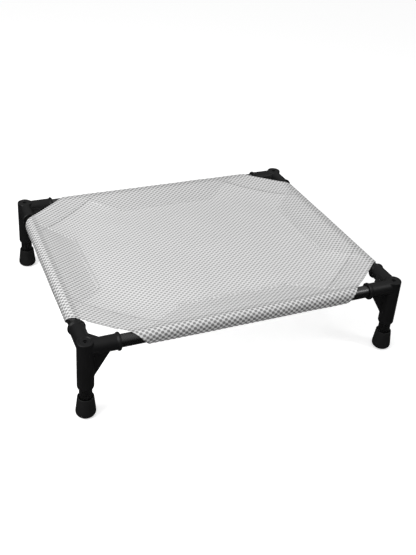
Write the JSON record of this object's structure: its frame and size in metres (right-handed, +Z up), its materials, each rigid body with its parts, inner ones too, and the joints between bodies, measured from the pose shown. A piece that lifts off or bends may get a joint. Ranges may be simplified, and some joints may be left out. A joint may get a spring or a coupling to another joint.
{
  "type": "raised dog bed",
  "caption": "Raised pet cot: a woven mesh sling stretched on a tube frame, with moulded corner fittings, short legs and rubber feet.",
  "frame": {"origin": "on the floor, under the middle of the sling", "axes": "+X along the long side, +Y along the short side towards the back, +Z up"},
  "size_m": [0.7098, 0.5958, 0.175],
  "materials": {
    "cover_mesh": "coarse plain-woven mesh, light grey",
    "frame_tube": "gloss black powder coat",
    "corner_plastic": "fine moulded satin, charcoal black",
    "foot_rubber": "matte black rubber",
    "bolt_black": "black oxide",
    "insert_plastic": "plain moulded"
  },
  "bodies": {
    "root": {"sling_panel": "cover_mesh", "sleeve_front": "cover_mesh", "sleeve_back": "cover_mesh", "sleeve_left": "cover_mesh", "sleeve_right": "cover_mesh", "hem_front_left": "cover_mesh", "hem_front_right": "cover_mesh", "hem_back_left": "cover_mesh", "hem_back_right": "cover_mesh", "rail_front": "frame_tube", "rail_back": "frame_tube", "rail_left": "frame_tube", "rail_right": "frame_tube", "corner_front_left": "corner_plastic", "corner_front_right": "corner_plastic", "corner_back_left": "corner_plastic", "corner_back_right": "corner_plastic", "leg_front_left": "frame_tube", "leg_front_right": "frame_tube", "leg_back_left": "frame_tube", "leg_back_right": "frame_tube", "foot_front_left": "foot_rubber", "foot_front_right": "foot_rubber", "foot_back_left": "foot_rubber", "foot_back_right": "foot_rubber", "bolt_front_left": "bolt_black", "bolt_front_right": "bolt_black", "bolt_back_left": "bolt_black", "bolt_back_right": "bolt_black", "insert_front_left": "insert_plastic", "insert_front_right": "insert_plastic", "insert_back_left": "insert_plastic", "insert_back_right": "insert_plastic"}
  },
  "joints": []
}
